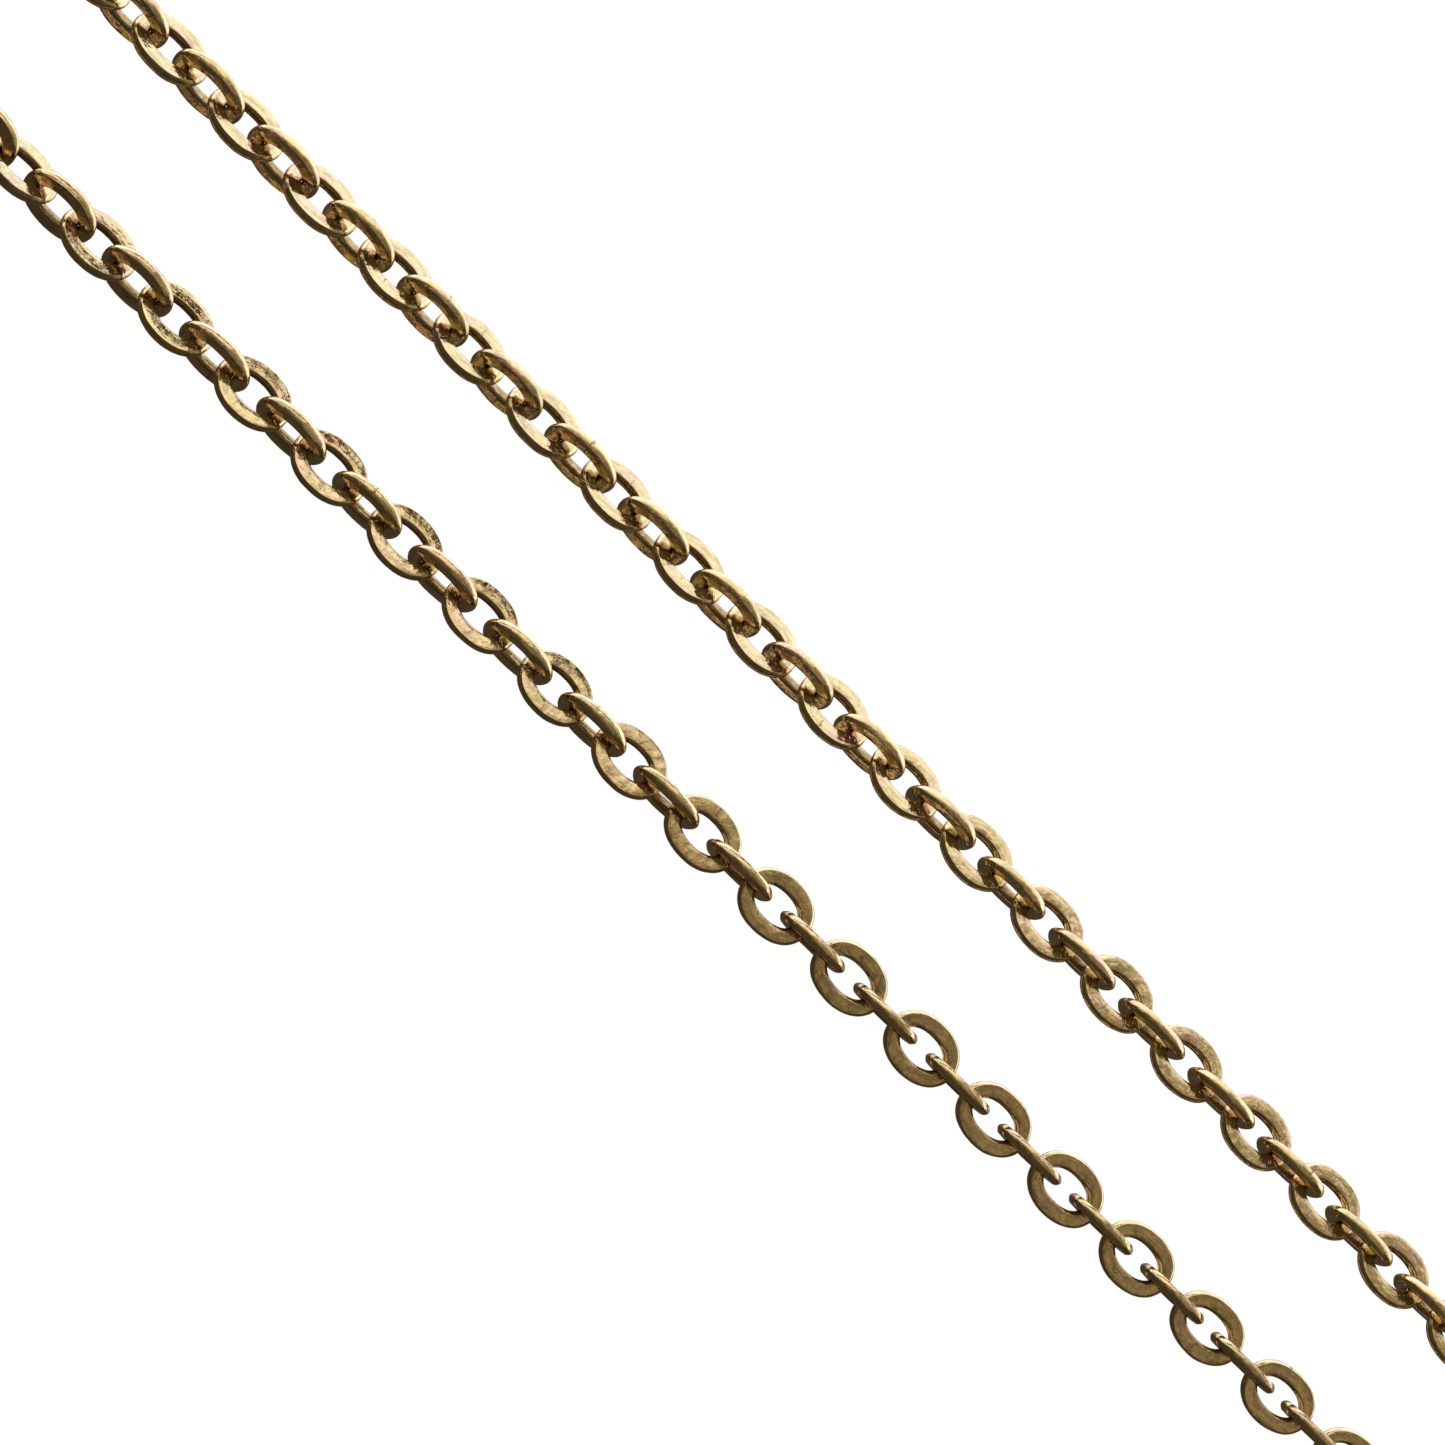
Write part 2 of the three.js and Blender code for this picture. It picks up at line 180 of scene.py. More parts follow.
def math_node(tree, operation, a, b=0.0, clamp=False):
    node = tree.nodes.new("ShaderNodeMath")
    node.operation = operation
    node.use_clamp = clamp
    for socket, value in zip(node.inputs, (a, b)):
        if isinstance(value, bpy.types.NodeSocket):
            tree.links.new(value, socket)
        else:
            socket.default_value = value
    return node.outputs[0]


def times(tree, a, b):
    return math_node(tree, "MULTIPLY", a, b)


def plus(tree, a, b):
    return math_node(tree, "ADD", a, b)


def mix_colour(tree, factor, a, b, blend="MIX"):
    node = tree.nodes.new("ShaderNodeMix")
    node.data_type = "RGBA"
    node.blend_type = blend
    for socket, value in zip((node.inputs[0], node.inputs[6], node.inputs[7]), (factor, a, b)):
        if isinstance(value, bpy.types.NodeSocket):
            tree.links.new(value, socket)
        else:
            socket.default_value = value
    return node.outputs[2]


def spread(tree, value, from_low, from_high, to_low=0.0, to_high=1.0, smooth=True):
    """value mapped from one range to another, clamped."""
    node = tree.nodes.new("ShaderNodeMapRange")
    node.interpolation_type = "SMOOTHSTEP" if smooth else "LINEAR"
    tree.links.new(value, node.inputs["Value"])
    ranges = (("From Min", from_low), ("From Max", from_high), ("To Min", to_low), ("To Max", to_high))
    for name, number in ranges:
        node.inputs[name].default_value = number
    return node.outputs[0]


def attribute(tree, name):
    node = tree.nodes.new("ShaderNodeAttribute")
    node.attribute_name = name
    return node.outputs["Fac"]


def noise_at(tree, place, per_mm, detail=2.0, roughness=0.5, distortion=0.0):
    """Noise with `per_mm` features in a millimetre."""
    node = add(tree, "ShaderNodeTexNoise", Vector=place, Detail=detail, Roughness=roughness)
    node.inputs["Scale"].default_value = per_mm / MM
    node.inputs["Distortion"].default_value = distortion
    return node.outputs["Fac"]


# ---- gold -----------------------------------------------------------------------------------------
YELLOW_GOLD = (0.90, 0.70, 0.41, 1)
ROSE_GOLD = (0.90, 0.655, 0.46, 1)
GREEN_GOLD = (0.82, 0.69, 0.36, 1)
# dark brown, both for the dirt in seams and scratches and for the painted shade on the links' inner walls
DIRT_AND_SHADE = (0.20, 0.11, 0.05, 1)
# features of the noises in a millimetre, from broad to fine
ROSY, GREENISH, SWELLS, SCRATCHES, MOTTLE, GRAIN = 0.55, 0.7, 1.3, 1.6, 3.2, 22
MOTTLE_WEAR, STREAK_WEAR = 0.45, 0.55  # what the two add to the uneven shade
SEAM_RAGGED = 0.6  # mm that the mottle moves the edge of the solder seam
SCRATCH_DIRT, DIRT = 0.2, 0.8  # dirt in a scratch beside that in a seam, and the amount of both
DIRT_ROUGHNESS = 0.25
FITTING_RELIEF = 0.4  # the fittings are less hammered than the links
MOTTLE_RELIEF, STREAK_RELIEF, GRAIN_RELIEF = 0.12, 0.34, 0.02
SCRATCH_CUT, CUT_DEPTH = 0.4, 0.3  # a scratch beside a seam, and how deep both are cut
GOLD_BUMP, GOLD_HEIGHT = 0.5, 0.12  # strength, and height in millimetres


def gold_material():
    """Worn gold, with painted shade on the links' inner walls. Links carry point attributes: recess
    (how much painted shade the inner wall takes), seam (mm from the soldered joint), link (1
    everywhere) and drawn (a place whose noise runs in streaks along the wire). Other pieces have
    none of them."""
    material, tree, shader = new_material("gold")
    place = tree.nodes.new("ShaderNodeTexCoord").outputs["Object"]
    seam, on_link = attribute(tree, "seam"), attribute(tree, "link")

    patches = noise_at(tree, place, GREENISH, detail=2)
    rosy_patches = noise_at(tree, place, ROSY, detail=2, distortion=0.6)
    mottle = noise_at(tree, place, MOTTLE, detail=4, roughness=0.6)
    fine = noise_at(tree, place, GRAIN, detail=3, roughness=0.65)

    colour = mix_colour(tree, spread(tree, rosy_patches, 0.48, 0.66), YELLOW_GOLD, ROSE_GOLD)
    colour = mix_colour(tree, spread(tree, patches, 0.52, 0.68, 0, 0.8), colour, GREEN_GOLD)
    along_wire = tree.nodes.new("ShaderNodeAttribute")
    along_wire.attribute_name = "drawn"
    drawn = add(tree, "ShaderNodeTexNoise", Vector=along_wire.outputs["Vector"],
                Scale=1.0, Detail=1.5, Roughness=0.5)
    drawn = times(tree, drawn.outputs["Fac"], on_link)
    blotches = plus(tree, times(tree, mottle, MOTTLE_WEAR), times(tree, drawn, STREAK_WEAR))
    worn = spread(tree, blotches, 0.34, 0.6, 0.72, 1.06)
    shade = add(tree, "ShaderNodeCombineColor", Red=worn, Green=worn, Blue=worn).outputs[0]
    colour = mix_colour(tree, 1.0, colour, shade, "MULTIPLY")

    # a faint solder seam, and scratches that wander over the faces
    uneven = times(tree, math_node(tree, "SUBTRACT", mottle, 0.5), SEAM_RAGGED)
    ragged = plus(tree, seam, uneven)
    groove = spread(tree, math_node(tree, "ABSOLUTE", ragged), 0.01, 0.05, 1.0, 0.0)
    groove = times(tree, times(tree, groove, on_link), spread(tree, patches, 0.45, 0.6))
    wander = noise_at(tree, place, SCRATCHES, detail=1, roughness=0.5, distortion=0.8)
    from_middle = math_node(tree, "ABSOLUTE", math_node(tree, "SUBTRACT", wander, 0.5))
    lines = times(tree, spread(tree, from_middle, 0.0, 0.02, 1.0, 0.0), spread(tree, mottle, 0.45, 0.6))
    dirt = math_node(tree, "MAXIMUM", groove, times(tree, lines, SCRATCH_DIRT))
    dirt = times(tree, dirt, DIRT)
    # painted shade: each link's inner wall is darkened towards dark brown as if shaded, with a mottled
    # strength; the darker of this painted shade and the dirt is used
    inner = times(tree, attribute(tree, "recess"), spread(tree, mottle, 0.3, 0.6, 0.35, 0.7))
    dirt_and_shade = math_node(tree, "MAXIMUM", dirt, inner)
    put(tree, shader, "Base Color", mix_colour(tree, dirt_and_shade, colour, DIRT_AND_SHADE))

    rough = spread(tree, mottle, 0.3, 0.7, 0.06, 0.15)
    put(tree, shader, "Roughness", plus(tree, rough, times(tree, dirt, DIRT_ROUGHNESS)))
    shader.inputs["Metallic"].default_value = 1.0

    swells = noise_at(tree, place, SWELLS, detail=2)
    hammered = plus(tree, swells, times(tree, mottle, MOTTLE_RELIEF))
    calmer = spread(tree, on_link, 0.0, 1.0, FITTING_RELIEF, 1.0)
    height = plus(tree, times(tree, hammered, calmer), times(tree, drawn, STREAK_RELIEF))
    height = plus(tree, height, times(tree, fine, GRAIN_RELIEF))
    scored = math_node(tree, "MAXIMUM", groove, times(tree, lines, SCRATCH_CUT))
    height = math_node(tree, "SUBTRACT", height, times(tree, scored, CUT_DEPTH))
    bump = add(tree, "ShaderNodeBump", Height=height)
    bump.inputs["Strength"].default_value = GOLD_BUMP
    bump.inputs["Distance"].default_value = GOLD_HEIGHT * MM
    put(tree, shader, "Normal", bump.outputs[0])
    return material


DARK_STEEL, LIGHT_STEEL = (0.44, 0.42, 0.40, 1), (0.66, 0.65, 0.63, 1)


def steel_material():
    material, tree, shader = new_material("steel")
    place = tree.nodes.new("ShaderNodeTexCoord").outputs["Object"]
    streaks = noise_at(tree, place, 9, detail=4)
    put(tree, shader, "Base Color", mix_colour(tree, streaks, DARK_STEEL, LIGHT_STEEL))
    put(tree, shader, "Roughness", spread(tree, streaks, 0.3, 0.7, 0.18, 0.4))
    shader.inputs["Metallic"].default_value = 1.0
    bump = add(tree, "ShaderNodeBump", Height=streaks)
    bump.inputs["Strength"].default_value = 0.3
    bump.inputs["Distance"].default_value = 0.02 * MM
    put(tree, shader, "Normal", bump.outputs[0])
    return material


GOLD, STEEL = gold_material(), steel_material()


# ---- a fine link ------------------------------------------------------------------------------------
AROUND = 72  # steps round a link
FULLNESS = 2.16  # the outline is a little fuller than an ellipse
BOW_WIRE, SIDE_WIRE = 1.03, 1.06  # width of the wire; the CAD's is 1.0
# the bows of the looser strand, so that no light shows between touching links; twelve pairs of
# them overlap for it, by up to 0.06 mm
LOOSE_WIRE = 1.09
BEND_WIRES = (0.97, 0.95)  # the links of the bend are a little slimmer, as they turn furthest
FILED = 0.03  # taken off each face by the file
BEVEL = (0.26, 0.13)  # how far the domed outer edge reaches in, at the bows and at the sides
INNER_ROUND = (0.26, 0.20)  # rounder at the bows, where the links turn on each other
CRISP = 0.010  # half the width of the sharp edge between the dome and the face
CROWN = 0.012  # how much the flat faces are domed by wear
STREAKS = 3.6  # drawing and filing streaks across each millimetre of the wire
BOW_HEIGHT, SIDE_HEIGHT = 0.95, 1.0  # the share of the metal's height at the bows and the sides
SIDE_COMES = 1.5  # how late the section changes from a bow's to a side's
DOME_AT = (0, 0.2, 0.4, 0.6, 0.8, 0.92, 1)  # heights of the points of the domed outer edge
FACE_STEPS, WALL_STEPS = 4, 6
WALL_DARK = 3  # the inner wall takes the full painted shade from this step on
WALL_FULLNESS = 0.75  # below 1 the inner wall stays full longer before it rounds over
# how much links differ, in millimetres, and where the soldered seam wanders, in radians
LENGTH_SPREAD, WIDTH_SPREAD, SEAM_SPREAD = 0.02, 0.025, 0.35
WOBBLE, NICK = 0.035, 0.010  # broad and fine unevenness of the outline
DENT, DIMPLE = 0.030, 0.006  # broad and fine unevenness of the faces


def blend(pair, side):
    return pair[0] + (pair[1] - pair[0]) * side


def half_section(side, bow_wire, side_wire):
    """Half a section of the wire, from the middle of the outer edge over the top face to the middle
    of the inner wall: (depth in from the outline, up, how much painted shade the inner wall takes
    there). side is 0 at a bow, 1 at a side."""
    wire, bevel, inner = blend((bow_wire, side_wire), side), blend(BEVEL, side), blend(INNER_ROUND, side)
    top = (THICK / 2 - FILED) * blend((BOW_HEIGHT, SIDE_HEIGHT), side)
    points = [(bevel * up ** 2, top * up, 0) for up in DOME_AT]
    points[-1] = (bevel - CRISP, top - 0.3 * CRISP, 0)
    last = wire - inner
    for k in range(FACE_STEPS + 1):
        t = k / FACE_STEPS
        depth = bevel + CRISP + (last - bevel - CRISP) * t
        points.append((depth, top - CROWN * (2 * t - 1) ** 2 + CROWN, 0))
    for k in range(1, WALL_STEPS + 1):
        a = math.radians(90 * k / WALL_STEPS)
        up = top * math.cos(a) ** WALL_FULLNESS
        points.append((wire - inner * (1 - math.sin(a)), up, min(1, k / WALL_DARK)))
    return points


def outline(a, half_length, half_width):
    reach = (abs(math.cos(a) / half_length) ** FULLNESS + abs(math.sin(a) / half_width) ** FULLNESS)
    reach **= -1 / FULLNESS
    return Vector((reach * math.cos(a), reach * math.sin(a), 0))


def link_piece(n):
    """Link n as its own mesh: an oval of flattened wire with filed faces, each a little different."""
    chance = random.Random(1000 + n)
    offset = Vector((chance.uniform(-50, 50), chance.uniform(-50, 50), chance.uniform(-50, 50)))
    seam_at = chance.choice((0.5, 1.5)) * math.pi + chance.uniform(-SEAM_SPREAD, SEAM_SPREAD)
    half_length = LINK_LENGTH / 2 + chance.uniform(-LENGTH_SPREAD, LENGTH_SPREAD)
    half_width = LINK_WIDTH / 2 + chance.uniform(-WIDTH_SPREAD, WIDTH_SPREAD)
    wires = (LOOSE_WIRE if n < BEND_START else BOW_WIRE, SIDE_WIRE)
    if BEND_START - 2 <= n <= CLASP_START:
        wires = BEND_WIRES
    vertices, recess, seam, drawn = [], [], [], []
    for i in range(AROUND):
        a = 2 * math.pi * i / AROUND
        edge = outline(a, half_length, half_width)
        ahead = outline(a + 0.01, half_length, half_width) - outline(a - 0.01, half_length, half_width)
        out = Vector((ahead.y, -ahead.x, 0)).normalized()
        arc = math.remainder(a - seam_at, 2 * math.pi) * (edge.length - BOW_WIRE / 2)
        half = half_section(abs(out.y) ** SIDE_COMES, *wires)
        section = half + [(depth, -up, inside) for depth, up, inside in half[-2:0:-1]]
        for depth, up, inside in section:
            drawn += [math.cos(a) * 1.5 + offset.x, math.sin(a) * 1.5 + offset.y, (depth + up) * STREAKS]
            point = edge - out * depth + UP * up
            outer = 1 - depth / SIDE_WIRE
            wobble = noise.noise(point * 0.6 + offset) * WOBBLE
            nick = noise.noise(point * 2.3 + offset) * NICK
            dent = noise.noise(point * 0.9 - offset) * DENT + noise.noise(point * 2.6 - offset) * DIMPLE
            sideways = out * (wobble + nick) * (0.4 + 0.6 * outer)
            point += sideways + UP * math.copysign(dent, up) * abs(up) * 2
            vertices.append(links[n] @ point * MM)
            recess.append(inside)
            seam.append(arc)
    mesh = bpy.data.meshes.new(f"chain_link_{n + 1:02d}")
    m = len(section)
    faces = []
    for i in range(AROUND):
        j = (i + 1) % AROUND
        for k in range(m):
            l = (k + 1) % m
            faces.append((i * m + k, i * m + l, j * m + l, j * m + k))
    mesh.from_pydata(vertices, [], faces)
    mesh.polygons.foreach_set("use_smooth", [True] * len(faces))
    # recess holds how much painted shade each point of the inner wall takes
    for name, values in (("recess", recess), ("seam", seam), ("link", [1.0] * len(seam))):
        mesh.attributes.new(name, "FLOAT", "POINT").data.foreach_set("value", values)
    mesh.attributes.new("drawn", "FLOAT_VECTOR", "POINT").data.foreach_set("vector", drawn)
    mesh.materials.append(GOLD)
    piece = bpy.data.objects.new(mesh.name, mesh)
    bpy.context.scene.collection.objects.link(piece)
    node = node_of(n)
    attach(piece, node)
    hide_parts(node)


for n in range(TOTAL):
    link_piece(n)


# ---- end fittings, drawn in millimetres in the same frames as the CAD part -----------------------------
LINK_WIRE = 1.0  # width of a CAD link's wire
RING_RADIUS, RING_WIRE = 1.9, 0.42
EYE_RADIUS, EYE_WIRE, EYE_SUNK = 1.35, 0.45, 0.35
BAR_RADIUS, BAR_HALF, KNOB, BAR_LEAN = 1.0, 12.0, 1.5, 4
COLLAR_RADIUS, COLLAR_HALF = 1.25, 1.7
BAIL_RADIUS, BAIL_WIRE, BAIL_STEM, POST, HEAD = 1.5, 0.45, 0.75, 0.7, 1.12
HOOK_HALF, NECK, REACH, OPEN, ARM = 1.3, 3.4, 6.8, 2.75, 1.6
PIVOT_X, PIVOT_Y, PIN, BOSS, EAR = 5.6, -3.0, 0.45, 1.25, 1.5
GATE_END, LIP, SLOT, GAP = 8.4, 1.0, 0.7, 0.1
STUD_RADIUS, STUD_AT = 0.55, 5.2
SPRING_RADIUS, SPRING_WIRE, SPRING_TURNS, SPRING_HALF = 0.79, 0.1, 2.2, 0.18
SPRING_ROOM_HALF, SPRING_ROOM_RADIUS = 0.34, 1.02
PLAY = 0.17  # running gap between a ring and what it passes through
AXIS_RADIUS = 0.01  # the least radius of a turned shape, so that no face at its ends collapses
HAND_FINISH = 0.012  # how far the surfaces of the fittings wander
ON_THE_CLASP = ("clasp_body", "gate_pin", "gate_spring")  # nodes that share one body


def fitting(name, node, place, points, faces, material=GOLD, slot="gold"):
    """A piece of that node from points in the millimetre frame `place`, very slightly uneven."""
    uneven = []
    for point in points:
        wander = noise.noise_vector(Vector(point) * 0.9) + noise.noise_vector(Vector(point) * 2.7) * 0.4
        uneven.append(place @ (Vector(point) + wander * HAND_FINISH) * MM)
    mesh = bpy.data.meshes.new(name)
    mesh.from_pydata(uneven, [], faces)
    mesh.polygons.foreach_set("use_smooth", [True] * len(faces))
    mesh.set_sharp_from_angle(angle=math.radians(40))
    mesh.materials.append(material)
    piece = bpy.data.objects.new(name, mesh)
    bpy.context.scene.collection.objects.link(piece)
    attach(piece, "clasp" if node in ON_THE_CLASP else node)
    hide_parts(node)


def skin(rows, closed):
    """Faces over rows of equal length, each row a closed loop; the ends are joined up or capped."""
    m = len(rows[0])
    faces = []
    for i in range(len(rows) if closed else len(rows) - 1):
        j = (i + 1) % len(rows)
        for k in range(m):
            l = (k + 1) % m
            faces.append((i * m + k, j * m + k, j * m + l, i * m + l))
    if not closed:
        faces.append(tuple(range(m)))
        faces.append(tuple(reversed(range((len(rows) - 1) * m, len(rows) * m))))
    return [point for row in rows for point in row], faces


def wire_ring(radius, wire, centre_x=0.0, around=72, section=20):
    """A round ring of round wire lying in the XY plane."""
    rows = []
    for i in range(around):
        a = 2 * math.pi * i / around
        out = Vector((math.cos(a), math.sin(a), 0))
        row = []
        for k in range(section):
            b = 2 * math.pi * k / section
            outward = Vector((centre_x, 0, 0)) + out * (radius + wire * math.cos(b))
            row.append(outward - UP * wire * math.sin(b))
        rows.append(row)
    return skin(rows, True)


def turned(profile, axis, centre=(0, 0, 0), closed=False, around=48):
    """A turned shape from (along, radius) points. Its axis is X, Y or Z through `centre`."""
    across = {"X": ((0, 1, 0), (0, 0, 1)), "Y": ((0, 0, 1), (1, 0, 0)), "Z": ((1, 0, 0), (0, 1, 0))}
    first, second = (Vector(direction) for direction in across[axis])
    spine = first.cross(second)
    rows = []
    for along, radius in profile:
        row = []
        for k in range(around):
            b = -2 * math.pi * k / around
            out = first * math.cos(b) + second * math.sin(b)
            row.append(Vector(centre) + spine * along + out * max(radius, AXIS_RADIUS))
        rows.append(row)
    return skin(rows, closed)


def rounded_washer(half_height, outer, inner, edge=0.1):
    """The closed profile of a bored disc with its outer edges rounded."""
    arc = [(half_height - edge * (1 - math.sin(a)), outer - edge * (1 - math.cos(a)))
           for a in (0, math.pi / 8, math.pi / 4, 3 * math.pi / 8, math.pi / 2)]
    return [(-h, r) for h, r in reversed(arc)] + arc + [(half_height, inner), (-half_height, inner)]


def bar_of(stations, fullness=3.4, section=28):
    """A bar through stations (inner xy, outer xy, low z, high z) with rounded edges and ends."""
    rows = []
    for inner, outer, low_z, high_z in stations:
        middle, half = (Vector(inner) + Vector(outer)) / 2, (Vector(outer) - Vector(inner)) / 2
        row = []
        for k in range(section):
            a = 2 * math.pi * (k + 0.5) / section
            across = math.copysign(abs(math.cos(a)) ** (2 / fullness), math.cos(a))
            up = math.copysign(abs(math.sin(a)) ** (2 / fullness), math.sin(a))
            flat = middle + half * across
            row.append(Vector((flat.x, flat.y, (low_z + high_z) / 2 + (high_z - low_z) / 2 * up)))
        rows.append(row)
    return skin(rows, False)


def standing_ring(name, link, heading, eye_inner, eye_height):
    """The jump ring through the chain's end link; returns the frame of the eye that hangs on it."""
    away = level(heading)
    inner = RING_RADIUS - RING_WIRE
    at = link.translation - shift + away * (LINK_LENGTH / 2 - LINK_WIRE + inner - PLAY)
    at.z = RING_RADIUS + RING_WIRE
    points, faces = wire_ring(RING_RADIUS, RING_WIRE)
    fitting(f"{name}_wire", name, frame_at(at + shift, away, 90), points, faces)
    drop = at.z - eye_height
    eye = at + away * (math.sqrt(inner ** 2 - drop ** 2) + eye_inner - PLAY)
    eye.z = eye_height
    return frame_at(eye + shift, away, 0)


# the T bar: a turned bar with knobs at both ends and a moulded middle that its eye stands on
tee = standing_ring("tee_ring", links[0], heading_of(0) + 180 - BAR_LEAN, EYE_RADIUS - EYE_WIRE, KNOB)
fitting("t_bar_eye", "t_bar", tee, *wire_ring(EYE_RADIUS, EYE_WIRE))
half_bar = [
    (0.00, COLLAR_RADIUS), (0.55, COLLAR_RADIUS), (0.72, 1.12), (0.86, 1.12), (1.00, 1.22), (1.30, 1.25),
    (1.58, 1.20), (1.72, 1.02), (1.90, 0.96), (2.20, 0.98), (5.0, 0.99), (8.2, 0.93), (8.55, 0.92),
    (8.68, 1.04), (8.85, 1.10), (9.02, 1.04), (9.14, 0.86),
]
knob_centre = BAR_HALF - KNOB
for step in range(9):
    a = math.radians(-58 + 148 * step / 8)
    half_bar.append((knob_centre + KNOB * math.sin(a), KNOB * math.cos(a)))
bar_profile = [(-y, r) for y, r in reversed(half_bar[1:])] + half_bar
bar_centre = (EYE_RADIUS + EYE_WIRE + BAR_RADIUS - EYE_SUNK, 0, 0)
fitting("t_bar_shaft", "t_bar", tee, *turned(bar_profile, "Y", bar_centre, around=64))

# the clasp: its frame starts at the face of the neck and runs out along the hook
clasp_away = heading_of(TOTAL - 1)
clasp = standing_ring("clasp_ring", links[TOTAL - 1], clasp_away, BAIL_RADIUS - BAIL_WIRE, HOOK_HALF)
eye_to_neck = BAIL_RADIUS + BAIL_WIRE + BAIL_STEM
clasp.translation += clasp.to_3x3() @ Vector((eye_to_neck, 0, 0))

fitting("clasp_bail_eye", "clasp_bail", clasp, *wire_ring(BAIL_RADIUS, BAIL_WIRE, -eye_to_neck))
fitting("clasp_bail_post", "clasp_bail", clasp, *turned([
    (-1.30, 0.50), (-1.10, 0.60), (-0.86, 0.64), (-0.70, 0.86), (-0.64, 1.04), (-0.54, 1.11),
    (-0.41, HEAD), (-0.28, 1.11), (-0.18, 1.04), (-0.13, 0.88), (-0.12, POST),
    (NECK + 0.12, POST), (NECK + 0.13, 1.02), (NECK + 0.20, 1.10), (NECK + 0.34, 1.04),
    (NECK + 0.50, 0.80), (NECK + 0.58, 0.45), (NECK + 0.61, 0.0),
], "X"))

# the neck of the clasp body, bored for the post
fitting("clasp_body_neck", "clasp_body", clasp, *turned([
    (0.00, POST + 0.06), (0.00, 1.08), (0.05, 1.20), (0.16, 1.28), (0.34, HOOK_HALF), (0.52, 1.28),
    (0.63, 1.20), (0.70, 1.10), (0.84, 1.06), (0.98, 1.10), (1.06, 1.18), (1.24, 1.20), (1.60, 1.12),
    (2.10, 1.14), (2.60, 1.22), (3.30, 1.24), (3.36, POST + 0.06),
], "X", closed=True))

centre_x = NECK + REACH


def on_oval(degrees, grown):
    a = math.radians(degrees)
    return Vector((centre_x + (REACH + grown) * math.cos(a), (OPEN + grown) * math.sin(a)))


def below(x, grown):
    """The point of the oval at that x on the gate's side."""
    part = (x - centre_x) / (REACH + grown)
    return Vector((x, -(OPEN + grown) * math.sqrt(1 - part * part)))


# the hook: from the lip over the gate's tip, round the nose and back to the slot for the gate
LIP_DEPTH, LIP_SLIM = 0.55, 0.6  # as shares of the arm's thickness and of the hook's height
NOSE_TOP, HOOK_FIRST, HOOK_PAST, HOOK_STEP = -35, -30, 217, 4  # degrees round the oval
SEAT_ROOM, SEAT_DEPTH = 0.12, 1.2  # clear of the rivet head
nose_x = PIVOT_X + GATE_END + GAP
lip_y = -(OPEN + ARM * LIP_DEPTH) - GAP / 2
hook = []
for x in (nose_x - LIP - GAP, nose_x - LIP - GAP + 0.06, nose_x - 0.55, nose_x - 0.02):
    slim = LIP_SLIM if x < nose_x - LIP else 1.0
    hook.append((Vector((x, lip_y)), below(x, ARM), -HOOK_HALF * slim, HOOK_HALF * slim))
start_inner = -math.degrees(math.acos((nose_x - centre_x) / REACH))
start_outer = -math.degrees(math.acos((nose_x - centre_x) / (REACH + ARM)))
for step in range(9):
    part = step / 8
    hook.append((on_oval(start_inner + (NOSE_TOP - start_inner) * part, 0),
                 on_oval(start_outer + (NOSE_TOP - start_outer) * part, ARM), -HOOK_HALF, HOOK_HALF))
for degrees in range(HOOK_FIRST, HOOK_PAST, HOOK_STEP):
    hook.append((on_oval(degrees, 0), on_oval(degrees, ARM), -HOOK_HALF, HOOK_HALF))
points, faces = bar_of(hook)
for point in points:  # the seat for the post's rivet head
    if abs(point.y) < HEAD + SEAT_ROOM and NECK < point.x < NECK + SEAT_DEPTH:
        point.x = NECK
fitting("clasp_body_hook", "clasp_body", clasp, points, faces)
CHEEK_INSET = 0.14  # a cheek lies this far inside the hook's outline
EAR_EDGE = 0.14
pin_bore = PIN + 0.05
for side in (-1, 1):
    number = 1 if side > 0 else 2
    cheek = sorted((side * (SLOT + 0.01), side * (HOOK_HALF - 0.05)))
    stations = [(on_oval(d, CHEEK_INSET), on_oval(d, ARM - CHEEK_INSET), *cheek)
                for d in (208, 212, 216, 221, 226)]
    fitting(f"clasp_body_cheek_{number}", "clasp_body", clasp, *bar_of(stations, fullness=6))
    ear_middle = (PIVOT_X, PIVOT_Y, side * (HOOK_HALF + SLOT) / 2)
    ear = rounded_washer((HOOK_HALF - SLOT) / 2, EAR, pin_bore, edge=EAR_EDGE)
    fitting(f"clasp_body_ear_{number}", "clasp_body", clasp,
            *turned(ear, "Z", ear_middle, closed=True))

# the gate: a bored boss with room for the spring, an arm that thickens clear of the ears, a stud
boss_half, arm_half = SLOT - GAP, HOOK_HALF - 0.25
edge = 0.08
boss = [(-boss_half, pin_bore), (-boss_half, BOSS - edge), (-boss_half + edge, BOSS),
        (boss_half - edge, BOSS), (boss_half, BOSS - edge), (boss_half, pin_bore),
        (SPRING_ROOM_HALF, pin_bore), (SPRING_ROOM_HALF, SPRING_ROOM_RADIUS),
        (-SPRING_ROOM_HALF, SPRING_ROOM_RADIUS), (-SPRING_ROOM_HALF, pin_bore)]
fitting("clasp_gate_boss", "clasp_gate", clasp, *turned(boss, "Z", (PIVOT_X, PIVOT_Y, 0), closed=True))
arm_start, tip_x = PIVOT_X + EAR + 0.2, PIVOT_X + GATE_END
step_x = tip_x - LIP - GAP
arm = []
xs = [PIVOT_X + 0.9, PIVOT_X + 1.3, arm_start, arm_start + 0.05, arm_start + 0.2]
xs += [arm_start + 0.2 + (step_x - 0.02 - arm_start - 0.2) * k / 14 for k in range(1, 15)]
xs += [step_x + 0.02, step_x + 0.4, tip_x - 0.1, tip_x - 0.03, tip_x]
for x in xs:
    half = boss_half if x <= arm_start else arm_half - (0.1 if x < arm_start + 0.1 else 0)
    half -= 0.12 if x > tip_x - 0.02 else 0.04 if x > tip_x - 0.05 else 0
    outer = below(x, ARM - GAP) if x < step_x else Vector((x, lip_y + GAP))
    arm.append((below(x, 0), outer, -half, half))
fitting("clasp_gate_arm", "clasp_gate", clasp, *bar_of(arm))
stud = [(-arm_half, 0.0), (-arm_half, 0.36), (-arm_half + 0.06, 0.46), (-arm_half + 0.16, STUD_RADIUS)]
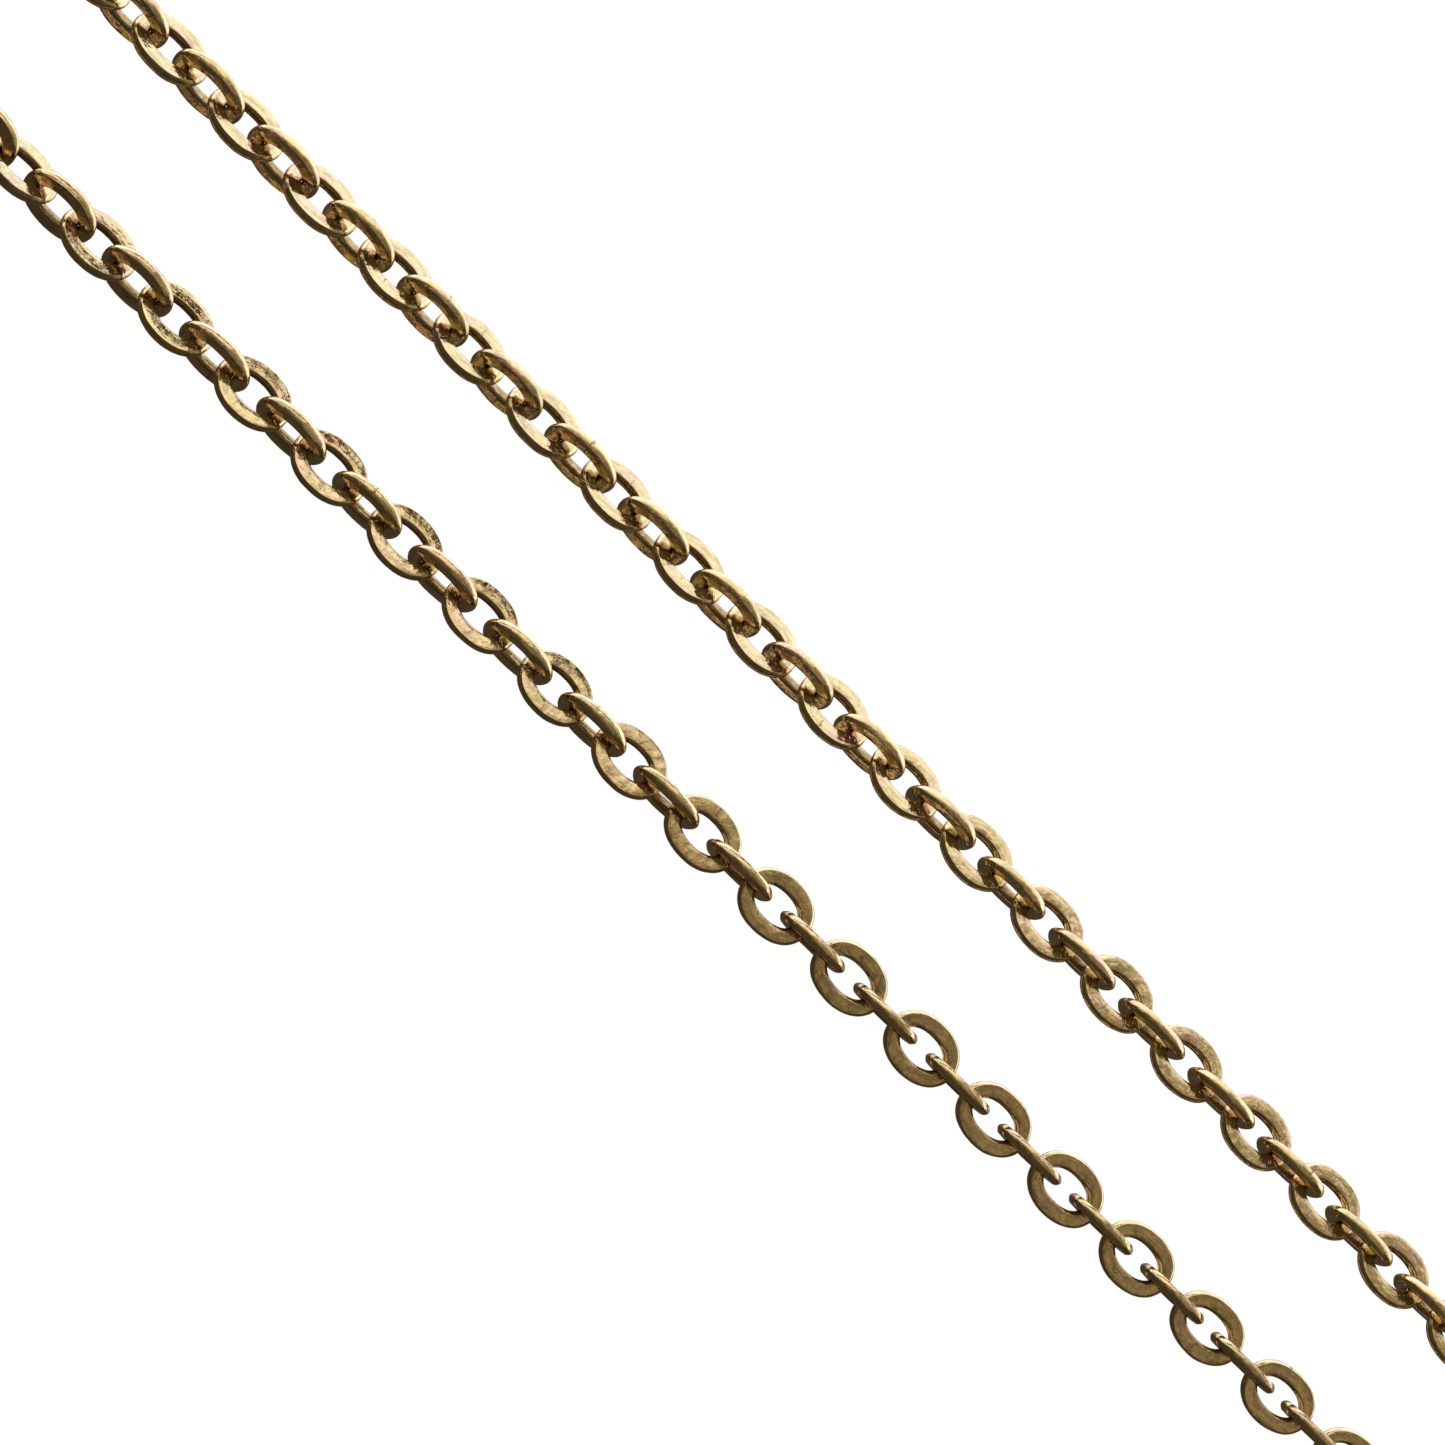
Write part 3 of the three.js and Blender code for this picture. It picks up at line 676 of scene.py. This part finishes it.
for k in range(5):  # turned grooves give the thumb a grip
    middle_z = -0.64 + 0.32 * k
    for along, cut in ((-0.10, 0.0), (0.0, 0.06), (0.10, 0.0)):
        stud.append((middle_z + along, STUD_RADIUS - cut))
stud += [(-z, r) for z, r in reversed(stud[:4])]
fitting("clasp_gate_stud", "clasp_gate", clasp, *turned(stud, "Z", (PIVOT_X + STUD_AT, -(OPEN + ARM), 0)))

# the steel pin, with domed ends, and the spring coiled round it inside the boss
fitting("gate_pin_steel", "gate_pin", clasp, *turned([
    (-HOOK_HALF - 0.02, 0.0), (-HOOK_HALF - 0.01, 0.26), (-HOOK_HALF + 0.05, 0.40),
    (-HOOK_HALF + 0.16, PIN), (HOOK_HALF - 0.04, PIN), (HOOK_HALF + 0.06, 0.40),
    (HOOK_HALF + 0.11, 0.24), (HOOK_HALF + 0.12, 0.0),
], "Z", (PIVOT_X, PIVOT_Y, 0)), material=STEEL, slot="steel")
COIL_STEPS, COIL_SECTION = 96, 10
turn = [2 * math.pi * k / COIL_SECTION for k in range(COIL_SECTION)]
rows = []
for i in range(COIL_STEPS + 1):
    part = i / COIL_STEPS
    a = part * SPRING_TURNS * 2 * math.pi
    out = Vector((math.cos(a), math.sin(a), 0))
    middle = Vector((PIVOT_X, PIVOT_Y, (2 * part - 1) * SPRING_HALF)) + out * SPRING_RADIUS
    rows.append([middle + (out * math.cos(b) - UP * math.sin(b)) * SPRING_WIRE for b in turn])
fitting("gate_spring_coil", "gate_spring", clasp, *skin(rows, False), material=STEEL, slot="steel")


# ---- camera ----------------------------------------------------------------------------------------
CAMERA_TILT, CAMERA_TURN, CAMERA_ROLL = 20, 7.02, -0.34  # degrees
CAMERA_DISTANCE, CAMERA_ASIDE = 78.02, (-19.02, 0.09)  # in taut pitches
HALF_VIEW, SENSOR_WIDTH = 10, 36  # degrees, and millimetres


def camera():
    """Looks down on the two strands from the T-bar strand's side, with the strands running from the
    top left to the bottom right of the picture. The unit is the taut pitch."""
    unit = PITCH_TAUT
    inner, outer = links[BEND_START - 1].translation, links[CLASP_START].translation
    middle = (inner + outer) / 2
    target = middle + Vector((*CAMERA_ASIDE, 0)) * unit
    tilt, turn, roll = (math.radians(angle) for angle in (CAMERA_TILT, CAMERA_TURN, CAMERA_ROLL))
    distance = CAMERA_DISTANCE * unit
    back = Vector((-math.sin(turn), math.sin(tilt) * math.cos(turn), math.cos(tilt) * math.cos(turn)))
    along = (Vector((1, 0, 0)) - back * back.x).normalized()
    across = back.cross(along)
    u = along * math.cos(roll) + across * math.sin(roll)
    v = across * math.cos(roll) - along * math.sin(roll)
    right, up = (u + v) / math.sqrt(2), (v - u) / math.sqrt(2)
    data = bpy.data.cameras.new("camera")
    data.sensor_width = SENSOR_WIDTH
    data.lens = SENSOR_WIDTH / 2 / math.tan(math.radians(HALF_VIEW))
    data.clip_start, data.clip_end = 0.01, 5
    made = bpy.data.objects.new("camera", data)
    bpy.context.scene.collection.objects.link(made)
    made.matrix_world = Matrix.Translation((target + back * distance) * MM) @ Matrix(
        (right, up, back)).transposed().to_4x4()
    bpy.context.scene.camera = made


camera()


# ---- floor and light ---------------------------------------------------------------------------------
TABLE_REACH = 3.0  # metres
TABLE_DROP = 0.02  # millimetres below the chain
TABLE_COLOUR, TABLE_GLOW = (0.985, 0.99, 1, 1), 0.97


def floor():
    """A plain, nearly white table top. It glows a little, so that only faint shadows show on it."""
    side = TABLE_REACH
    mesh = bpy.data.meshes.new("floor")
    corners = [(-side, -side, 0), (side, -side, 0), (side, side, 0), (-side, side, 0)]
    mesh.from_pydata(corners, [], [(0, 1, 2, 3)])
    material, tree, shader = new_material("floor_white")
    shader.inputs["Base Color"].default_value = (0.5, 0.5, 0.5, 1)
    shader.inputs["Roughness"].default_value = 1.0
    shader.inputs["Specular IOR Level"].default_value = 0.0
    shader.inputs["Emission Color"].default_value = TABLE_COLOUR
    shader.inputs["Emission Strength"].default_value = TABLE_GLOW
    mesh.materials.append(material)
    made = bpy.data.objects.new("floor", mesh)
    bpy.context.scene.collection.objects.link(made)
    made.location.z = -TABLE_DROP * MM
    made.visible_glossy = False  # the metal mirrors the room, not the glow of the table top


# the dark side of the room, the same over the ends and over the bend
DARK_SIDE = [
    (-180, (0.25, 0.22, 0.19)), (-150, (0.07, 0.055, 0.04)), (-60, (0.05, 0.04, 0.025)),
    (0, (0.07, 0.055, 0.035)),
]


def room_ramp(tree, place, stops):
    """Light by the angle from straight up, in degrees, positive towards the T-bar strand's side."""
    ramp = tree.nodes.new("ShaderNodeValToRGB")
    elements = ramp.color_ramp.elements
    while len(elements) < len(stops):
        elements.new(0.5)
    for element, (at, colour) in zip(elements, stops):
        element.position = (at + 180) / 360
        element.color = (*colour, 1)
    tree.links.new(place, ramp.inputs[0])
    return ramp.outputs[0]


def room():
    """Soft light from the whole room, by the angle from straight up: bright and cool on the T-bar
    strand's side and below it, golden between there and overhead, dark on the other side. It
    changes along X from one ramp to the other."""
    world = bpy.data.worlds.new("room")
    bpy.context.scene.world = world
    world.use_nodes = True
    tree = world.node_tree
    tree.nodes.clear()
    direction = tree.nodes.new("ShaderNodeTexCoord").outputs["Generated"]
    parts = add(tree, "ShaderNodeSeparateXYZ", Vector=direction)
    angle = math_node(tree, "ARCTAN2", parts.outputs["Y"], parts.outputs["Z"])
    place = spread(tree, angle, -math.pi, math.pi, smooth=False)
    over_the_ends = room_ramp(tree, place, DARK_SIDE + [
        (24, (0.10, 0.08, 0.05)), (40, (0.26, 0.215, 0.14)), (56, (0.72, 0.64, 0.48)),
        (74, (1.15, 1.10, 0.95)), (90, (1.20, 1.22, 1.22)), (106, (1.12, 1.18, 1.24)),
        (125, (1.30, 1.42, 1.56)), (165, (1.40, 1.50, 1.64)), (180, (0.70, 0.70, 0.70)),
    ])
    over_the_bend = room_ramp(tree, place, DARK_SIDE + [
        (14, (0.12, 0.095, 0.06)), (25, (0.31, 0.255, 0.15)), (34, (0.17, 0.14, 0.09)),
        (45, (0.33, 0.27, 0.17)), (56, (0.20, 0.165, 0.11)), (67, (0.37, 0.31, 0.22)),
        (75, (0.38, 0.33, 0.25)), (83, (0.85, 0.82, 0.74)), (115, (1.35, 1.45, 1.56)),
        (165, (1.25, 1.30, 1.35)), (180, (0.70, 0.70, 0.70)),
    ])
    share = spread(tree, parts.outputs["X"], -0.02, 0.28)
    colour = mix_colour(tree, share, over_the_ends, over_the_bend)
    background = add(tree, "ShaderNodeBackground", Color=colour, Strength=1.0)
    output = tree.nodes.new("ShaderNodeOutputWorld")
    tree.links.new(background.outputs[0], output.inputs["Surface"])


floor()
room()
bpy.context.scene.view_settings.view_transform = "Standard"
